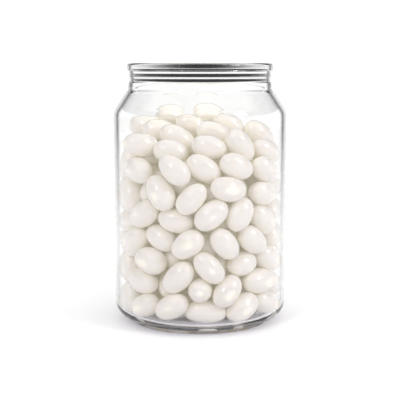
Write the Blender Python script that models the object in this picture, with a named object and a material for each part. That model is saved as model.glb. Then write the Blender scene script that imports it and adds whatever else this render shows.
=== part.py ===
"""An open glass storage jar, filled with white jelly beans up to a low mound, higher at the back.

The jar is one turned piece of clear glass. Its outline is a list of corners, each with its own rounding.
The beans are one solid out to their uneven outline, because a heap of small things is one body.
Metres, +Z up, with the origin on the table under the middle of the jar.
"""

import math
import random

import bmesh
import bpy
from mathutils import Vector

MM = 0.001

# Driving dimensions, in millimetres
JAR_HEIGHT = 150.0
JAR_RADIUS = 50.0
WALL = 2.05
NECK_RADIUS = 41.1
NECK_FLARE = 0.5  # how much wider the neck is at its foot
LEDGE_RISE = 1.3  # from the shoulder's top up to the neck's foot
MOUTH_RADIUS = 39.4
BEAD_RADIUS = 42.1
BEAD_HEIGHT = 4.0
SHOULDER_TOP = 133.2
SHOULDER_RADIUS = 42.9  # of the small ledge at its top
SHOULDER_DROP = 1.52  # fall of the shoulder for each millimetre that it widens
FOOT_RADIUS = 40.5
FOOT_STEP = 2.4  # how far the heel stays above the table
FLOOR = 5.8  # inside floor at its edge
FLOOR_RISE = 0.6  # the floor's rise to its middle
SHOULDER_ROUNDING = 10.0
FLOOR_ROUNDING = 5.0  # between the floor and the inner wall
PUSH_UP = 2.6  # the underside's hollow
TABLE_FLAT = 3.3  # width of the ring that the jar stands on
BEAN_LENGTH = 21.0
BEAN_WIDTH = 14.2
FILL_HEIGHT = 115.5  # mean level of the beans along the wall
REAR_LIFT = 6.5  # how much higher they lie at the back, and lower at the front
MOUND = 4.0  # how much higher their middle lies
SIDE_SWELL = 4.6  # how far a bean at the glass stands out of the heap
TOP_SWELL = 5.0  # the same for a bean on the mound
TOP_BEANS = 34
FIT_GAP = 0.35  # between the beans' solid and the glass

JAR_SIDES = 60
HEAP_SIDES = 60
HEAP_STEP = 4.6  # spacing of the heap's rings
ARC_SLACK = 0.12  # how far a rounding's straight facets may miss its true arc
SEED = 11


def rounded(corners):
    """The outline through (radius, height, rounding) corners, with each rounding as an arc."""
    outline = []
    for index, (radius, height, rounding) in enumerate(corners):
        corner = Vector((radius, height))
        if rounding == 0:
            outline.append(corner)
            continue
        back = (Vector(corners[index - 1][:2]) - corner).normalized()
        ahead = (Vector(corners[index + 1][:2]) - corner).normalized()
        half = back.angle(ahead) / 2
        centre = corner + (back + ahead).normalized() * rounding / math.sin(half)
        start = corner + back * rounding / math.tan(half) - centre
        turn = start.angle_signed(corner + ahead * rounding / math.tan(half) - centre)
        steps = math.ceil(abs(turn) / (2 * math.acos(1 - ARC_SLACK / rounding)))
        for step in range(steps + 1):
            angle = math.atan2(start.y, start.x) - turn * step / steps
            outline.append(centre + Vector((math.cos(angle), math.sin(angle))) * rounding)
    return outline


def turned(outline, sides):
    """A closed solid, turned about Z from an outline that starts and ends on the axis, in millimetres."""
    mesh = bmesh.new()
    row = [mesh.verts.new((point.x * MM, 0, point.y * MM)) for point in outline]
    edges = [mesh.edges.new(pair) for pair in zip(row, row[1:])]
    mesh.verts.ensure_lookup_table()
    bmesh.ops.spin(
        mesh,
        geom=row + edges,
        cent=(0, 0, 0),
        axis=(0, 0, 1),
        angle=math.tau,
        steps=sides,
        use_merge=True,
    )
    bmesh.ops.remove_doubles(mesh, verts=mesh.verts, dist=0.01 * MM)
    bmesh.ops.recalc_face_normals(mesh, faces=mesh.faces)
    return mesh


def jar_outside():
    """Corners from the middle of the underside, out over the foot and up to the rim."""
    shoulder_foot = SHOULDER_TOP - (JAR_RADIUS - SHOULDER_RADIUS) * SHOULDER_DROP
    bead_foot = JAR_HEIGHT - BEAD_HEIGHT
    upper_step, lower_step = 142.4, 139.1
    upper_band, lower_band = NECK_RADIUS - 0.1, NECK_RADIUS - 0.4
    return [
        (0, PUSH_UP, 0),
        (FOOT_RADIUS - TABLE_FLAT - 3, PUSH_UP - 0.6, 2),
        (FOOT_RADIUS - TABLE_FLAT, 0, 0.6),
        (FOOT_RADIUS, 0, 0.6),
        (FOOT_RADIUS + 0.7, FOOT_STEP, 0.4),
        (JAR_RADIUS, FOOT_STEP, 8.4),
        (JAR_RADIUS, shoulder_foot, SHOULDER_ROUNDING),
        (SHOULDER_RADIUS, SHOULDER_TOP, 0.5),
        (NECK_RADIUS + NECK_FLARE, SHOULDER_TOP + LEDGE_RISE, 0),
        (NECK_RADIUS, lower_step, 0),
        (lower_band, lower_step + 0.3, 0),
        (lower_band, upper_step, 0),
        (upper_band, upper_step + 0.3, 0),
        (upper_band, bead_foot - 0.4, 0),
        (BEAD_RADIUS, bead_foot, 0),
        (BEAD_RADIUS, JAR_HEIGHT, 1.7),
    ]


def jar_inside():
    """Corners from the rim down the inner wall to the middle of the floor."""
    slope = Vector((1, -SHOULDER_DROP)).normalized()
    on_slope = Vector((SHOULDER_RADIUS, SHOULDER_TOP)) + Vector((slope.y, -slope.x)) * WALL
    inner_radius = JAR_RADIUS - WALL

    def slope_height(radius):
        return on_slope.y - (radius - on_slope.x) * SHOULDER_DROP

    return [
        (MOUTH_RADIUS, JAR_HEIGHT, 0.9),
        (MOUTH_RADIUS, slope_height(MOUTH_RADIUS), 2),
        (inner_radius, slope_height(inner_radius), SHOULDER_ROUNDING - WALL),
        (inner_radius, FLOOR, FLOOR_ROUNDING),
        (0, FLOOR + FLOOR_RISE, 0),
    ]


def bean_swell(across, along, lean, depth):
    """How far a lying bean swells at a point given from its middle, or 0 beside it."""
    long_way = along * math.cos(lean) + across * math.sin(lean)
    short_way = across * math.cos(lean) - along * math.sin(lean)
    share = (2 * long_way / BEAN_LENGTH) ** 2 + (2 * short_way / BEAN_WIDTH) ** 2
    return depth * max(0.0, 1 - share)


def wall_beans(dice):
    """Beans that lie against the glass, as (turn about the axis, height, lean), in staggered rows."""
    row_height = BEAN_WIDTH * 0.86
    in_row = round(math.tau * JAR_RADIUS / (BEAN_LENGTH * 0.92))
    beans = []
    for row in range(math.ceil(FILL_HEIGHT / row_height)):
        for place in range(in_row):
            turn = math.tau * (place + row % 2 / 2 + dice.uniform(-0.12, 0.12)) / in_row
            height = FLOOR + row_height * (row + 0.6 + dice.uniform(-0.1, 0.1))
            beans.append((turn, height, math.pi / 2 + dice.uniform(-0.9, 0.9)))
    return beans


def top_beans(dice):
    """Beans that lie on the mound, as (x, y, lean), spread like the seeds of a sunflower."""
    golden = math.pi * (3 - math.sqrt(5))
    beans = []
    for number in range(TOP_BEANS):
        radius = (JAR_RADIUS - WALL - BEAN_WIDTH / 3) * math.sqrt((number + 0.5) / TOP_BEANS)
        angle = number * golden
        beans.append((radius * math.cos(angle), radius * math.sin(angle), dice.uniform(0, math.pi)))
    return beans


def heap_outline():
    """The heap without its bumps: along the floor, up the wall and over the mound."""
    radius = JAR_RADIUS - WALL - FIT_GAP
    floor = FLOOR + FIT_GAP
    corners = [(0, floor + FLOOR_RISE, 0), (radius, floor, FLOOR_ROUNDING), (radius, FILL_HEIGHT, 0)]
    outline = rounded(corners)[:-1]
    wall_foot = outline[-1].y
    rows = round((FILL_HEIGHT - wall_foot) / HEAP_STEP)
    for row in range(1, rows + 1):
        outline.append(Vector((radius, wall_foot + (FILL_HEIGHT - wall_foot) * row / rows)))
    rings = round(radius / HEAP_STEP)
    for ring in range(1, rings + 1):
        share = 1 - ring / rings
        outline.append(Vector((radius * share, FILL_HEIGHT + MOUND * (1 - share**2))))
    return outline


def make_heap():
    """The beans' common outline, with a bump for each bean that shows at the glass or on top."""
    dice = random.Random(SEED)
    against_glass = wall_beans(dice)
    on_top = top_beans(dice)
    radius = JAR_RADIUS - WALL - FIT_GAP
    wall_foot = FLOOR + FIT_GAP + FLOOR_ROUNDING
    touch = 0.01
    mesh = turned(heap_outline(), HEAP_SIDES)
    for vertex in mesh.verts:
        x, y, z = vertex.co / MM
        at_wall = math.hypot(x, y) > radius - touch
        in_wall = 1 - SIDE_SWELL / radius
        lift = REAR_LIFT * y / radius
        if at_wall and z < FILL_HEIGHT - touch:
            here = math.atan2(y, x)
            swell = max(
                bean_swell(math.remainder(here - turn, math.tau) * radius, z - height, lean, SIDE_SWELL)
                for turn, height, lean in against_glass
            )
            share = in_wall + swell / radius
            rise = lift * max(0, z - wall_foot) / (FILL_HEIGHT - wall_foot)
            vertex.co = Vector((x * share, y * share, z + rise)) * MM
        elif z > FILL_HEIGHT - touch:
            swell = max(bean_swell(x - at_x, y - at_y, lean, TOP_SWELL) for at_x, at_y, lean in on_top)
            share = in_wall if at_wall else 1
            vertex.co = Vector((x * share, y * share, z + lift - TOP_SWELL + swell)) * MM
    return mesh


def add_object(name, mesh, material, smooth_below):
    """Puts the mesh in the scene as a named object, shaded smooth but for its sharp edges."""
    data = bpy.data.meshes.new(name)
    mesh.to_mesh(data)
    mesh.free()
    data.materials.append(material)
    data.shade_smooth()
    data.set_sharp_from_angle(angle=smooth_below)
    bpy.context.scene.collection.objects.link(bpy.data.objects.new(name, data))


def plain_material(name, colour, roughness, transmission=0.0):
    material = bpy.data.materials.new(name)
    material.use_nodes = True
    shader = material.node_tree.nodes["Principled BSDF"]
    shader.inputs["Base Color"].default_value = (*colour, 1)
    shader.inputs["Roughness"].default_value = roughness
    shader.inputs["Metallic"].default_value = 0.0
    shader.inputs["Transmission Weight"].default_value = transmission
    return material


def main():
    for old in list(bpy.data.objects):
        bpy.data.objects.remove(old)
    clear_glass = plain_material("clear_glass", (0.95, 0.97, 0.96), 0.02, transmission=1.0)
    white_shell = plain_material("white_sugar_shell", (0.93, 0.91, 0.86), 0.15)
    jar = turned(rounded(jar_outside() + jar_inside()), JAR_SIDES)
    add_object("glass_jar", jar, clear_glass, math.radians(40))
    add_object("jelly_bean_heap", make_heap(), white_shell, math.radians(60))


main()
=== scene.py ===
"""Looks of an open glass storage jar filled with white jelly beans.

The jar is turned at full smoothness from the same outline as its solid. The beans at the front glass
and on the crest are laid one by one. The others fall in behind them, and all settle against each other.
Lengths are in millimetres of the real jar until they reach a mesh, which is in metres.
"""

import math

import bmesh
import bpy
import numpy as np
from mathutils import Matrix, Vector


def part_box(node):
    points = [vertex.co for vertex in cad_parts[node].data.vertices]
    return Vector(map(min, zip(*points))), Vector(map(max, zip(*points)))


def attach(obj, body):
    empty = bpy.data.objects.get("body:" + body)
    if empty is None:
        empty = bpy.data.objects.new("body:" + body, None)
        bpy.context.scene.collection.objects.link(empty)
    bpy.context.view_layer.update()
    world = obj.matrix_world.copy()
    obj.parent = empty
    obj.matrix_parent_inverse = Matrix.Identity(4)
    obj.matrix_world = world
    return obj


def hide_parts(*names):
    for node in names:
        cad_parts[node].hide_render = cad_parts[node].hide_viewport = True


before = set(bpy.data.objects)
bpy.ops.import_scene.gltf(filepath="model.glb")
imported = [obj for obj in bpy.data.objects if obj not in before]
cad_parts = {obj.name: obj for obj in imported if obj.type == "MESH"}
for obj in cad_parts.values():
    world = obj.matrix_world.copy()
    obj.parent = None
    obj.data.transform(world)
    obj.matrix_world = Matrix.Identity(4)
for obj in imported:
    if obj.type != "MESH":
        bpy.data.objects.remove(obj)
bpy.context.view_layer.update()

JAR_LOW, JAR_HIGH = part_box("glass_jar")
JAR_HEIGHT = 150.0
MM = (JAR_HIGH.z - JAR_LOW.z) / JAR_HEIGHT
JAR_RADIUS = (JAR_HIGH.x - JAR_LOW.x) / 2 / MM

# The glass, in millimetres
WALL = 2.05
NECK_RADIUS = 41.1
NECK_FLARE = 0.5  # how much wider the neck is at its foot
LEDGE_RISE = 1.3  # from the shoulder's top up to the neck's foot
MOUTH_RADIUS = 39.4
BEAD_RADIUS = 42.1
BEAD_HEIGHT = 4.0
SHOULDER_TOP = 133.2
SHOULDER_RADIUS = 42.9  # of the small ledge at its top
SHOULDER_DROP = 1.52  # fall of the shoulder for each millimetre that it widens
UPPER_STEP = 142.4  # the two steps that part the neck into bands
LOWER_STEP = 139.1
STEP_RISE = 0.3
FOOT_RADIUS = 40.5
FOOT_STEP = 2.4  # how far the heel stays above the table
FLOOR = 5.8  # inside floor at its edge
FLOOR_RISE = 0.6  # the floor's rise to its middle
SHOULDER_ROUNDING = 10.0
FLOOR_ROUNDING = 5.0  # between the floor and the inner wall
PUSH_UP = 2.6  # the underside's hollow
TABLE_FLAT = 3.3  # width of the ring that the jar stands on
JAR_SIDES = 240
ARC_SLACK = 0.012  # how far a rounding's straight facets may miss its true arc
SHORTEST_RUN = 1.5  # a shorter straight run is a facet of a rounding
HOLD = 0.15  # from the end of a long run to the point that keeps it flat

# The beans, in millimetres unless it says a share
BEAN_COUNT = 217
BEAN_LENGTH = 21.0
BEAN_WIDTH = 14.2
INNER_RADIUS = JAR_RADIUS - WALL
WIDTH_SPREAD = 0.03, 0.93, 1.07  # usual spread, and the least and the most, as shares of the width
LENGTH_SPREAD = 0.04, 0.9, 1.1  # the same for the length, beyond what goes with the width
LOOSE_COLUMN = 130.0  # height of the column that the loose beans fall from
LOOSE_BACK = 6.0  # how far behind the jar's axis that column stands
BEAN_CUTS = 7  # across each side of the cube that a bean is rounded from
FULLNESS = 0.94  # below 1, a bean's ends are blunter than an ellipsoid's
MOST_SWELL = 1.2  # keeps that bluntness finite at the very ends
LUMP = 0.012  # height of a bean's slight lumps, as a share of half its width
LUMP_TURNS = 3.0  # how close together the lumps lie
TAPER = 0.035  # usual narrowing of one end and widening of the other, as a share of half the width
BEND = 0.012  # usual bow of a bean, as a share of half its length
SEED = 5

# Front beans, row by row from the floor: (turn from the front, height, lean, how far back from
# the glass), in degrees and millimetres. A bean with a positive lean points down to the right.
FRONT_BEANS = (
    (-72, 15, 60, 0), (-45, 14, -40, 2), (-22, 15, -20, 0), (5, 11.8, 2, 5), (35, 14, -42, 0),
    (62, 14, 50, 0), (-48, 26, 15, 2), (20, 23, -58, 0), (51, 26, -12, 2),
    (-42, 40, 12, 0), (-17, 32, -48, 0), (7, 38, 48, 0), (35, 37, -10, 4), (66, 36, 45, 0),
    (-60, 49, -50, 1), (-32, 52, 25, 6), (-9, 51, -42, 0), (19, 51, 52, 0), (44, 51, 42, 2),
    (-49, 65, -40, 0), (-18, 63, 25, 6), (9, 68, -45, 0), (31, 67, -60, 1), (56, 63, 60, 1),
    (-72, 75, 60, 0), (-33, 79, 55, 0), (-6, 76, -47, 1), (21, 82, 5, 0), (55, 77, 12, 1),
    (-54, 90, 25, 0), (-19, 92, 40, 1), (3, 91, 33, 7), (29, 93, 20, 4), (61, 89, 30, 0),
)

# A bean at the front that points at the glass, and the crest: (x, y, height, heading, lean).
# Heading 0 lies along X, and 90 along Y.
POINTING_BEANS = (
    (0, -39, 22.5, 90, 4),
)
CREST_BEANS = (
    (-34, -21, 103, 25, 8), (-17, -23, 100.5, 0, 12), (5, -26, 103, 0, 14), (22, -22, 103, 15, 62),
    (37, -10, 99, 45, 20),
    (-13, -10, 106, 0, 35), (-23, 2, 109, 20, 15), (8, -4, 109, 10, 20), (35, 14, 107, 20, 30),
    (-5, 6, 114, 0, 32), (18, 14, 113.5, 0, 28), (-34, 18, 112, -15, 5), (-18, 24, 118.5, 0, 4),
    (6, 23, 118.5, 0, 12),
)


def rounded(corners):
    """The outline through (radius, height, rounding) corners, with each rounding as an arc."""
    outline = []
    for index, (radius, height, rounding) in enumerate(corners):
        corner = Vector((radius, height))
        if rounding == 0:
            outline.append(corner)
            continue
        back = (Vector(corners[index - 1][:2]) - corner).normalized()
        ahead = (Vector(corners[index + 1][:2]) - corner).normalized()
        half = back.angle(ahead) / 2
        centre = corner + (back + ahead).normalized() * rounding / math.sin(half)
        start = corner + back * rounding / math.tan(half) - centre
        turn = start.angle_signed(corner + ahead * rounding / math.tan(half) - centre)
        steps = math.ceil(abs(turn) / (2 * math.acos(1 - ARC_SLACK / rounding)))
        for step in range(steps + 1):
            angle = math.atan2(start.y, start.x) - turn * step / steps
            outline.append(centre + Vector((math.cos(angle), math.sin(angle))) * rounding)
    return outline


def held_flat(outline):
    """The outline with a point close to each end of its long straight runs, which keeps them flat."""
    held = outline[:1]
    for start, end in zip(outline, outline[1:]):
        run = end - start
        if run.length > SHORTEST_RUN:
            held += [start + run.normalized() * HOLD, end - run.normalized() * HOLD]
        held.append(end)
    return held


def jar_outline():
    """Corners from the underside's middle, out over the foot, up to the rim and down the inner wall."""
    shoulder_foot = SHOULDER_TOP - (JAR_RADIUS - SHOULDER_RADIUS) * SHOULDER_DROP
    bead_foot = JAR_HEIGHT - BEAD_HEIGHT
    upper_band = NECK_RADIUS - 0.1
    lower_band = NECK_RADIUS - 0.4
    slope = Vector((1, -SHOULDER_DROP)).normalized()
    on_slope = Vector((SHOULDER_RADIUS, SHOULDER_TOP)) + Vector((slope.y, -slope.x)) * WALL

    def slope_height(radius):
        return on_slope.y - (radius - on_slope.x) * SHOULDER_DROP

    return held_flat(rounded([
        (0, PUSH_UP, 0),
        (FOOT_RADIUS - TABLE_FLAT - 3, PUSH_UP - 0.6, 2),
        (FOOT_RADIUS - TABLE_FLAT, 0, 0.6),
        (FOOT_RADIUS, 0, 0.6),
        (FOOT_RADIUS + 0.7, FOOT_STEP, 0.4),
        (JAR_RADIUS, FOOT_STEP, 8.4),
        (JAR_RADIUS, shoulder_foot, SHOULDER_ROUNDING),
        (SHOULDER_RADIUS, SHOULDER_TOP, 0.5),
        (NECK_RADIUS + NECK_FLARE, SHOULDER_TOP + LEDGE_RISE, 1.2),
        (NECK_RADIUS, LOWER_STEP, 0.15),
        (lower_band, LOWER_STEP + STEP_RISE, 0.15),
        (lower_band, UPPER_STEP, 0.15),
        (upper_band, UPPER_STEP + STEP_RISE, 0.15),
        (upper_band, bead_foot - 0.4, 0.15),
        (BEAD_RADIUS, bead_foot, 0.3),
        (BEAD_RADIUS, JAR_HEIGHT, 1.7),
        (MOUTH_RADIUS, JAR_HEIGHT, 0.9),
        (MOUTH_RADIUS, slope_height(MOUTH_RADIUS), 3),
        (INNER_RADIUS, slope_height(INNER_RADIUS), SHOULDER_ROUNDING - WALL),
        (INNER_RADIUS, FLOOR, FLOOR_ROUNDING),
        (0, FLOOR + FLOOR_RISE, 0),
    ]))


def turned(name, outline, sides):
    """An object turned about Z from an outline that starts and ends on the axis."""
    mesh = bmesh.new()
    row = [mesh.verts.new((point.x * MM, 0, point.y * MM)) for point in outline]
    edges = [mesh.edges.new(pair) for pair in zip(row, row[1:])]
    bmesh.ops.spin(
        mesh,
        geom=row + edges,
        cent=(0, 0, 0),
        axis=(0, 0, 1),
        angle=math.tau,
        steps=sides,
        use_merge=True,
    )
    bmesh.ops.remove_doubles(mesh, verts=mesh.verts, dist=0.001 * MM)
    bmesh.ops.recalc_face_normals(mesh, faces=mesh.faces)
    return shown(name, mesh, math.radians(50))


def shown(name, mesh, smooth_below=math.pi):
    """Puts a bmesh in the scene, shaded smooth but for edges sharper than smooth_below."""
    data = bpy.data.meshes.new(name)
    mesh.to_mesh(data)
    mesh.free()
    data.shade_smooth()
    data.set_sharp_from_angle(angle=smooth_below)
    piece = bpy.data.objects.new(name, data)
    bpy.context.scene.collection.objects.link(piece)
    return piece


# Settling. A bean is a row of balls along its axis. Beans push each other and the glass apart ball by
# ball, and sink a little at each step, until they lie still.

BALLS = np.array((-1, -0.77, -0.42, 0, 0.42, 0.77, 1))  # from end to end of the row
AWAY = 400.0  # height at which the crest beans wait while the others fall
FALLING = 1400, 0.4, 0.01  # steps, and the sinking at the first and the last of them
EASING = 300, 0.05, 0.01
RESTING = 400, 0.01, 0.002
HOMING = 0.1  # share of its way home that a listed bean goes at each step
BEANS_PART = 0.7  # share of an overlap that one step takes away, between beans
GLASS_PARTS = 0.5  # the same between a bean and the glass
SEARCH_STEPS = 10  # from one search for neighbours to the next
SEARCH_GAP = 0.5
TINY = 1e-6


class Pile:
    """Beans as rows of balls. Those that are held are drawn back to where they were laid."""

    def __init__(self, middle, axis, half_length, half_width, held):
        self.middle = middle
        self.axis = axis
        self.half_length = half_length
        self.half_width = half_width
        self.held = held
        self.home = middle.copy()
        self.home_axis = axis.copy()
        span = (half_length**2 - half_width**2)[:, None]
        self.along = span / half_length[:, None] * BALLS
        self.ball = half_width[:, None] * np.sqrt(1 - self.along**2 / span)
        self.inertia = (half_length**2 + half_width**2) / 5

    def leverage(self, beans, balls, outward):
        """How a push along outward turns each bean, from where it acts on the ball."""
        along = self.axis[beans] * self.along[beans, balls][:, None]
        arm = along - outward * self.ball[beans, balls][:, None]
        return np.cross(arm, outward)

    def push(self, beans, balls, outward, amount):
        """Moves and turns beans by amount along outward."""
        twist = self.leverage(beans, balls, outward) / self.inertia[beans][:, None]
        np.add.at(self.shift, beans, outward * amount[:, None])
        np.add.at(self.twist, beans, twist * amount[:, None])

    def give(self, beans, balls, outward):
        """How readily each bean gives way to a push. It is 1 where the push doesn't turn the bean."""
        return 1 + (self.leverage(beans, balls, outward) ** 2).sum(1) / self.inertia[beans]

    def find_neighbours(self):
        apart = np.linalg.norm(self.middle[:, None] - self.middle[None], axis=2)
        reach = self.half_length[:, None] + self.half_length[None] + SEARCH_GAP
        self.near = np.nonzero(np.triu(apart < reach, 1))

    def meet_neighbours(self, places):
        """Pushes each pair of neighbours apart at the two balls that overlap most."""
        one, other = self.near
        gap = places[one][:, :, None] - places[other][:, None]
        far = np.sqrt((gap**2).sum(3))
        depth = self.ball[one][:, :, None] + self.ball[other][:, None] - far
        depth = depth.reshape(len(one), -1)
        deepest = depth.argmax(1)
        touching = np.nonzero(depth[np.arange(len(one)), deepest] > 0)[0]
        deepest = deepest[touching]
        ball, other_ball = np.divmod(deepest, len(BALLS))
        outward = gap[touching, ball, other_ball] / far[touching, ball, other_ball][:, None]
        one, other = one[touching], other[touching]
        give = self.give(one, ball, outward) + self.give(other, other_ball, -outward)
        amount = BEANS_PART * depth[touching, deepest] / give
        self.push(one, ball, outward, amount)
        self.push(other, other_ball, -outward, amount)

    def meet_glass(self, depth, outward):
        """Pushes each bean back by its ball that lies deepest in the glass."""
        beans = np.arange(len(depth))
        ball = depth.argmax(1)
        beans = beans[depth[beans, ball] > 0]
        ball = ball[beans]
        normal = outward[beans, ball]
        amount = GLASS_PARTS * depth[beans, ball] / self.give(beans, ball, normal)
        self.push(beans, ball, normal, amount)

    def meet_jar(self, places):
        """Meets the wall, the floor that rises to its middle, and the rounding between the two."""
        across = np.hypot(places[:, :, 0], places[:, :, 1])
        height = places[:, :, 2]
        inward = -places * (1, 1, 0) / np.maximum(across, TINY)[:, :, None]
        up = np.broadcast_to((0.0, 0.0, 1.0), places.shape)
        floor = FLOOR + FLOOR_RISE * (1 - across / INNER_RADIUS)
        beyond = across - (INNER_RADIUS - FLOOR_ROUNDING)
        below = FLOOR + FLOOR_ROUNDING - height
        apart = np.maximum(np.hypot(beyond, below), TINY)
        in_corner = (beyond > 0) & (below > 0)
        corner_depth = np.where(in_corner, apart + self.ball - FLOOR_ROUNDING, -1.0)
        off_corner = (inward * beyond[:, :, None] + up * below[:, :, None]) / apart[:, :, None]
        self.meet_glass(across + self.ball - INNER_RADIUS, inward)
        self.meet_glass(floor + self.ball - height, up)
        self.meet_glass(corner_depth, off_corner)

    def lift(self, beans, height):
        self.middle[beans, 2] += height
        self.home[beans, 2] += height

    def settle(self, steps, first_drop, last_drop):
        for step in range(steps):
            if step % SEARCH_STEPS == 0:
                self.find_neighbours()
            drop = first_drop * (last_drop / first_drop) ** (step / steps)
            self.middle[~self.held, 2] -= drop
            self.middle[self.held] += HOMING * (self.home - self.middle)[self.held]
            self.axis[self.held] += HOMING * (self.home_axis - self.axis)[self.held]
            self.shift = np.zeros_like(self.middle)
            self.twist = np.zeros_like(self.middle)
            places = self.middle[:, None] + self.axis[:, None] * self.along[:, :, None]
            self.meet_neighbours(places)
            self.meet_jar(places)
            self.middle += self.shift
            self.axis += np.cross(self.twist, self.axis)
            self.axis /= np.linalg.norm(self.axis, axis=1)[:, None]
            # Rounding keeps the last digits from growing into another heap on another computer
            self.middle = self.middle.round(6)
            self.axis = self.axis.round(8)


def laid_by_hand():
    """Middles and axes of the front beans, of the pointing one, and last of the crest beans."""
    middles = []
    axes = []
    reach = INNER_RADIUS - BEAN_WIDTH / 2

    def lay(middle, heading, lean):
        across = math.cos(lean)
        middles.append(middle)
        axes.append((across * math.cos(heading), across * math.sin(heading), -math.sin(lean)))

    for turn, height, lean, back in FRONT_BEANS:
        turn = math.radians(turn)
        lay((reach * math.sin(turn), back - reach * math.cos(turn), height), turn, math.radians(lean))
    for x, y, height, heading, lean in POINTING_BEANS + CREST_BEANS:
        lay((x, y, height), math.radians(heading), math.radians(lean))
    return middles, axes


def varied(dice, spread, least, most):
    """A share about 1 for each bean."""
    return dice.normal(1, spread, BEAN_COUNT).clip(least, most)


def settled_beans():
    """Loose beans fall in behind the front ones, and then the crest ones come down onto them."""
    dice = np.random.default_rng(SEED)
    middles, axes = laid_by_hand()
    by_hand = len(middles)
    loose = BEAN_COUNT - by_hand
    half_width = BEAN_WIDTH / 2 * varied(dice, *WIDTH_SPREAD)
    half_length = half_width * BEAN_LENGTH / BEAN_WIDTH * varied(dice, *LENGTH_SPREAD)
    reach = (INNER_RADIUS - BEAN_WIDTH) * np.sqrt(dice.random(loose))
    angle = dice.random(loose) * math.tau
    height = FLOOR + BEAN_WIDTH / 2 + LOOSE_COLUMN * (np.arange(loose) + 0.5) / loose
    scattered = np.stack((reach * np.cos(angle), reach * np.sin(angle) + LOOSE_BACK, height), 1)
    ways = dice.normal(size=(loose, 3))
    ways /= np.linalg.norm(ways, axis=1)[:, None]
    number = np.arange(BEAN_COUNT)
    held = number < by_hand
    crest = held & (number >= by_hand - len(CREST_BEANS))
    middle = np.concatenate((middles, scattered))
    axis = np.concatenate((axes, ways))
    pile = Pile(middle, axis, half_length, half_width, held)
    pile.lift(crest, AWAY)
    pile.settle(*FALLING)
    pile.lift(crest, -AWAY)
    pile.settle(*EASING)
    pile.settle(*RESTING)
    return pile, dice


def bean_blank():
    """A unit ball of even four-sided faces."""
    ball = bmesh.new()
    bmesh.ops.create_cube(ball, size=2)
    bmesh.ops.subdivide_edges(ball, edges=ball.edges, cuts=BEAN_CUTS, use_grid_fill=True)
    for vertex in ball.verts:
        vertex.co = Vector([math.tan(part * math.pi / 4) for part in vertex.co]).normalized()
    blank = bpy.data.meshes.new("bean_blank")
    ball.to_mesh(blank)
    ball.free()
    blank.attributes.new("shade", "FLOAT", "POINT")
    return blank


def bean_form(ball, half_length, half_width, taper, bend, lumps):
    """Points of one bean with its long axis on X, in millimetres, from the points of a unit ball."""
    x = np.sign(ball[:, 0]) * np.abs(ball[:, 0]) ** FULLNESS
    off_axis = np.maximum(np.hypot(ball[:, 1], ball[:, 2]), TINY)
    swell = np.minimum(off_axis ** (FULLNESS - 1), MOST_SWELL)
    swell = swell * (1 + taper * x + LUMP * np.sin(ball @ lumps * LUMP_TURNS))
    across = (swell * half_width)[:, None] * ball[:, 1:]
    form = np.column_stack((x * half_length, across))
    form[:, 2] += bend * half_length * (x**2 - 1 / 3)
    return form


def make_beans():
    pile, dice = settled_beans()
    blank = bean_blank()
    ball = np.array([vertex.co for vertex in blank.vertices])
    joined = bmesh.new()
    sizes = zip(pile.half_length, pile.half_width)
    for middle, axis, (half_length, half_width) in zip(pile.middle, pile.axis, sizes):
        taper = dice.normal(0, TAPER)
        bend = dice.normal(0, BEND)
        form = bean_form(ball, half_length, half_width, taper, bend, dice.normal(size=3))
        roll = Matrix.Rotation(dice.random() * math.tau, 4, "X")
        turn = Vector(axis).to_track_quat("X", "Z").to_matrix().to_4x4()
        bean = blank.copy()
        bean.vertices.foreach_set("co", form.ravel())
        bean.attributes["shade"].data.foreach_set("value", np.full(len(ball), dice.random()))
        bean.transform(Matrix.Scale(MM, 4) @ Matrix.Translation(middle) @ turn @ roll)
        joined.from_mesh(bean)
        bpy.data.meshes.remove(bean)
    bpy.data.meshes.remove(blank)
    return shown("jelly_beans", joined)


# Finishes

# Painted shade in the neck and the rim, in place of the dark studio seen through the glass, by height in
# millimetres: a line at each step, and the bead's foot
PAINTED_RIM_LEVELS = (
    (138.0, 0.0), (139.5, 0.0), (140.4, 1.0), (141.1, 1.0), (141.7, 0.0), (142.5, 0.0), (143.2, 1.0),
    (144.0, 1.0), (144.5, 0.0), (145.2, 0.0), (145.7, 1.0), (146.7, 1.0), (147.0, 0.2), (147.4, 0.5),
    (149.8, 0.6), (150.0, 0.5),
)
RIM_FADING = 1.4  # how fast the lines fade as the glass turns away from the eye
RIM_SEEN = 0.05, 0.5  # darkness at which a line starts to show, and at which it is darkest

# Painted shade at the jar's sides, in place of the dark studio seen in the glass edge on, by how far they
# have turned away, from 0 where they face the eye
PAINTED_EDGE_LEVELS = (0.0, 0.0), (0.62, 0.0), (0.7, 1.0), (0.76, 1.0), (0.82, 0.5), (0.95, 0.6), (1.0, 0.95)
# The bands' strength: half below the first height, and full above the second
EDGE_FADING = 0.35 * JAR_HEIGHT, 0.75 * JAR_HEIGHT, 0.5


def new_material(name):
    material = bpy.data.materials.new(name)
    material.use_nodes = True
    return material, material.node_tree, material.node_tree.nodes["Principled BSDF"]


def added(tree, kind, **settings):
    """A new node, with its settings and its inputs' values by name."""
    node = tree.nodes.new(kind)
    for name, value in settings.items():
        if hasattr(node, name):
            setattr(node, name, value)
        else:
            node.inputs[name.replace("_", " ").title()].default_value = value
    return node


def level_ramp(tree, stops):
    """A ramp of grey levels, from (position, level) stops."""
    ramp = added(tree, "ShaderNodeValToRGB")
    while len(ramp.color_ramp.elements) < len(stops):
        ramp.color_ramp.elements.new(0.5)
    for element, (position, level) in zip(ramp.color_ramp.elements, stops):
        element.position = position
        element.color = (level, level, level, 1)
    return ramp


def height_range(tree, height, lowest, highest, least=0.0):
    """A share that rises from least to 1 between two heights in millimetres."""
    share = added(tree, "ShaderNodeMapRange", from_min=lowest * MM, from_max=highest * MM, to_min=least)
    tree.links.new(height, share.inputs["Value"])
    return share.outputs["Result"]


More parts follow.
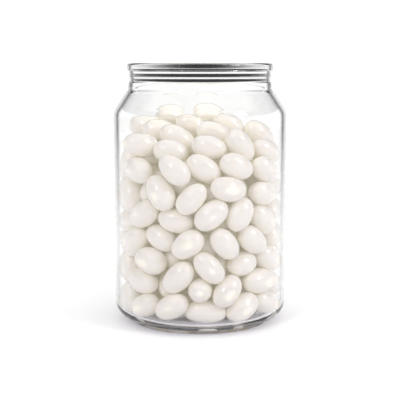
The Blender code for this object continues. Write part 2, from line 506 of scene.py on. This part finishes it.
def painted_rim_shade(tree, height, facing):
    """Painted shade in the bead and in a line at each step of the neck, most of all where they face the
    eye, in place of the dark studio seen through the glass.
    """
    link = tree.links.new
    lowest = PAINTED_RIM_LEVELS[0][0]
    stops = [((level - lowest) / (JAR_HEIGHT - lowest), dark) for level, dark in PAINTED_RIM_LEVELS]
    lines = level_ramp(tree, stops)
    narrowed = added(tree, "ShaderNodeMath", operation="MULTIPLY_ADD")
    narrowed.inputs[1].default_value = -RIM_FADING
    least_seen, all_dark = RIM_SEEN
    result = added(tree, "ShaderNodeMapRange", from_min=least_seen, from_max=all_dark)
    link(height_range(tree, height, lowest, JAR_HEIGHT), lines.inputs["Fac"])
    link(facing, narrowed.inputs[0])
    link(lines.outputs["Color"], narrowed.inputs[2])
    link(narrowed.outputs["Value"], result.inputs["Value"])
    return result.outputs["Result"]


def painted_edge_shade(tree, height, facing):
    """Painted dark bands along the jar's sides, where it turns away from the eye, in place of the dark
    studio seen in the glass there. They are fainter lower down.
    """
    bands = level_ramp(tree, PAINTED_EDGE_LEVELS)
    faded = added(tree, "ShaderNodeMath", operation="MULTIPLY")
    tree.links.new(facing, bands.inputs["Fac"])
    tree.links.new(bands.outputs["Color"], faded.inputs[0])
    tree.links.new(height_range(tree, height, *EDGE_FADING), faded.inputs[1])
    return faded.outputs["Value"]


def outside_only(tree, place):
    """1 on faces that look away from the middle of the foot, as the jar's outer ones do, or else 0."""
    outward = added(tree, "ShaderNodeVectorMath", operation="DOT_PRODUCT")
    outside = added(tree, "ShaderNodeMath", operation="GREATER_THAN")
    outside.inputs[1].default_value = 0.0
    tree.links.new(place.outputs["Object"], outward.inputs[0])
    tree.links.new(place.outputs["Normal"], outward.inputs[1])
    tree.links.new(outward.outputs["Value"], outside.inputs[0])
    return outside.outputs["Value"]


def scattered_straight(tree, shader):
    """Lets light that is on its way to or from a matt surface pass the glass straight, with a tint."""
    link = tree.links.new
    sight = added(tree, "ShaderNodeLightPath")
    straight = added(tree, "ShaderNodeMath", operation="MAXIMUM")
    clear = added(tree, "ShaderNodeBsdfTransparent")
    clear.inputs["Color"].default_value = (0.815, 0.805, 0.845, 1)
    either = added(tree, "ShaderNodeMixShader")
    link(sight.outputs["Is Shadow Ray"], straight.inputs[0])
    link(sight.outputs["Is Diffuse Ray"], straight.inputs[1])
    link(straight.outputs["Value"], either.inputs["Fac"])
    link(shader.outputs["BSDF"], either.inputs[1])
    link(clear.outputs["BSDF"], either.inputs[2])
    link(either.outputs["Shader"], tree.nodes["Material Output"].inputs["Surface"])


def clear_glass():
    """Clear glass with slight waves, with painted shade where its outside is seen edge on and in lines at
    its rim.
    """
    material, tree, shader = new_material("clear_glass")
    link = tree.links.new
    shader.inputs["Roughness"].default_value = 0.0
    shader.inputs["IOR"].default_value = 1.5
    shader.inputs["Transmission Weight"].default_value = 1.0
    place = added(tree, "ShaderNodeTexCoord")
    waves = added(tree, "ShaderNodeTexNoise", scale=30.0, detail=1.0)
    bump = added(tree, "ShaderNodeBump", strength=0.05, distance=0.0003)
    link(place.outputs["Object"], waves.inputs["Vector"])
    link(waves.outputs["Fac"], bump.inputs["Height"])
    link(bump.outputs["Normal"], shader.inputs["Normal"])

    # Painted shade: the base colour goes nearly black on the outer faces seen edge on and in lines at the
    # rim, in place of the dark studio seen through the glass.
    facing = added(tree, "ShaderNodeLayerWeight").outputs["Facing"]
    parts = added(tree, "ShaderNodeSeparateXYZ")
    link(place.outputs["Object"], parts.inputs["Vector"])
    height = parts.outputs["Z"]
    either_dark = added(tree, "ShaderNodeMath", operation="MAXIMUM")
    darkness = added(tree, "ShaderNodeMath", operation="MULTIPLY")
    tint = added(tree, "ShaderNodeValToRGB")
    tint.color_ramp.elements[0].color = (0.997, 1.0, 0.998, 1)
    tint.color_ramp.elements[1].color = (0.01, 0.01, 0.01, 1)
    link(painted_edge_shade(tree, height, facing), either_dark.inputs[0])
    link(painted_rim_shade(tree, height, facing), either_dark.inputs[1])
    link(either_dark.outputs["Value"], darkness.inputs[0])
    link(outside_only(tree, place), darkness.inputs[1])
    link(darkness.outputs["Value"], tint.inputs["Fac"])
    link(tint.outputs["Color"], shader.inputs["Base Color"])
    scattered_straight(tree, shader)
    return material


def sugar_shell():
    """Polished sugar, with a shade of its own for each bean, fine dents, a little light through it, and a
    faint painted warm glow that lifts the crevices between beans.
    """
    material, tree, shader = new_material("white_sugar_shell")
    link = tree.links.new
    place = added(tree, "ShaderNodeTexCoord")
    cloud = added(tree, "ShaderNodeTexNoise", scale=160.0, detail=3.0)
    shade = added(tree, "ShaderNodeAttribute", attribute_name="shade")
    mixed = added(tree, "ShaderNodeMath", operation="MULTIPLY_ADD")
    mixed.inputs[1].default_value = 0.5
    tint = added(tree, "ShaderNodeValToRGB")
    tint.color_ramp.elements[0].color = (0.9, 0.85, 0.74, 1)
    tint.color_ramp.elements[1].color = (0.93, 0.885, 0.79, 1)
    link(place.outputs["Object"], cloud.inputs["Vector"])
    link(shade.outputs["Fac"], mixed.inputs[0])
    link(cloud.outputs["Fac"], mixed.inputs[2])
    link(mixed.outputs["Value"], tint.inputs["Fac"])
    link(tint.outputs["Color"], shader.inputs["Base Color"])
    dents = added(tree, "ShaderNodeTexNoise", scale=330.0, detail=2.0)
    bump = added(tree, "ShaderNodeBump", strength=0.3, distance=0.0001)
    link(place.outputs["Object"], dents.inputs["Vector"])
    link(dents.outputs["Fac"], bump.inputs["Height"])
    link(bump.outputs["Normal"], shader.inputs["Normal"])
    gloss = added(tree, "ShaderNodeMapRange", to_min=0.25, to_max=0.4)
    link(cloud.outputs["Fac"], gloss.inputs["Value"])
    link(gloss.outputs["Result"], shader.inputs["Roughness"])
    shader.inputs["Subsurface Weight"].default_value = 0.25
    shader.inputs["Subsurface Radius"].default_value = (1.0, 0.9, 0.5)
    shader.inputs["Subsurface Scale"].default_value = 0.002
    # Painted glow: a faint warm emission that lightens and yellows every bean, most plainly in the
    # crevices between them, in place of light bouncing between and through the shells.
    shader.inputs["Emission Color"].default_value = (1.0, 0.93, 0.6, 1)
    shader.inputs["Emission Strength"].default_value = 0.045
    shader.inputs["Coat Weight"].default_value = 1.0
    shader.inputs["Coat Roughness"].default_value = 0.06
    return material


def pale_floor():
    material, tree, shader = new_material("pale_floor")
    shader.inputs["Base Color"].default_value = (0.98, 0.98, 0.98, 1)
    shader.inputs["Roughness"].default_value = 0.9
    shader.inputs["Specular IOR Level"].default_value = 0.1
    return material


# Studio

# Brightness by the sine of the height above the horizon
STUDIO_LEVELS = (0.0, 1.0), (0.27, 1.0), (0.33, 0.04), (0.6, 0.04), (0.72, 1.0), (1.0, 1.0)
FILL_LIGHT = 1.04  # brightness of the world for all that scatters light
CAMERA_DISTANCE = 570.0  # in millimetres, level with the rim
CAMERA_TILT = 7.98  # degrees below the horizon
CAMERA_LENS = 87.84
FLOOR_SIZE = 12.0  # radius in metres
LIT_HEIGHT = 0.07  # the softboxes aim at the jar's middle, in metres


def make_floor():
    mesh = bmesh.new()
    bmesh.ops.create_circle(mesh, cap_ends=True, segments=96, radius=FLOOR_SIZE)
    floor = shown("floor", mesh)
    floor.data.materials.append(pale_floor())


def softbox(name, place, size, watts):
    lamp = bpy.data.lights.new(name, "AREA")
    lamp.shape = "RECTANGLE"
    lamp.size, lamp.size_y = size
    lamp.energy = watts
    light = bpy.data.objects.new(name, lamp)
    light.location = place
    aim = Vector((0, 0, LIT_HEIGHT)) - light.location
    light.rotation_euler = aim.to_track_quat("-Z", "Y").to_euler()
    bpy.context.scene.collection.objects.link(light)


def make_world():
    """Even soft light. Glass and sheen show a dark band all round, between the sweep and the ceiling."""
    world = bpy.data.worlds.new("studio")
    bpy.context.scene.world = world
    world.use_nodes = True
    tree = world.node_tree
    link = tree.links.new
    place = added(tree, "ShaderNodeTexCoord")
    parts = added(tree, "ShaderNodeSeparateXYZ")
    rise = level_ramp(tree, STUDIO_LEVELS)
    sight = added(tree, "ShaderNodeLightPath")
    mirrored = added(tree, "ShaderNodeMath", operation="MAXIMUM")
    shown_or_not = added(tree, "ShaderNodeMix", data_type="FLOAT")
    shown_or_not.inputs["A"].default_value = FILL_LIGHT
    bright = added(tree, "ShaderNodeMath", operation="MAXIMUM")
    link(place.outputs["Generated"], parts.inputs["Vector"])
    link(parts.outputs["Z"], rise.inputs["Fac"])
    link(sight.outputs["Is Glossy Ray"], mirrored.inputs[0])
    link(sight.outputs["Is Transmission Ray"], mirrored.inputs[1])
    link(mirrored.outputs["Value"], shown_or_not.inputs["Factor"])
    link(rise.outputs["Color"], shown_or_not.inputs["B"])
    link(shown_or_not.outputs["Result"], bright.inputs[0])
    link(sight.outputs["Is Camera Ray"], bright.inputs[1])
    link(bright.outputs["Value"], tree.nodes["Background"].inputs["Strength"])
    tree.nodes["Background"].inputs["Color"].default_value = (1, 1, 1, 1)


def make_camera():
    """Stands as high as the rim and looks down at the jar's middle."""
    lens = bpy.data.cameras.new("camera")
    lens.lens = CAMERA_LENS
    camera = bpy.data.objects.new("camera", lens)
    camera.location = (0, -CAMERA_DISTANCE * MM, JAR_HIGH.z)
    camera.rotation_euler = (math.radians(90 - CAMERA_TILT), 0, 0)
    bpy.context.scene.collection.objects.link(camera)
    bpy.context.scene.camera = camera


scene = bpy.context.scene
scene.view_settings.view_transform = "Standard"

jar = turned("storage_jar", jar_outline(), JAR_SIDES)
jar.data.materials.append(clear_glass())
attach(jar, "root")
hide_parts("glass_jar")

beans = make_beans()
beans.data.materials.append(sugar_shell())
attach(beans, "root")
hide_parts("jelly_bean_heap")

make_floor()
make_world()
softbox("left_softbox", (-0.5, -0.75, 0.75), (0.11, 0.11), 2.0)
softbox("right_softbox", (0.8, -0.45, 0.7), (0.25, 0.35), 3.0)
make_camera()
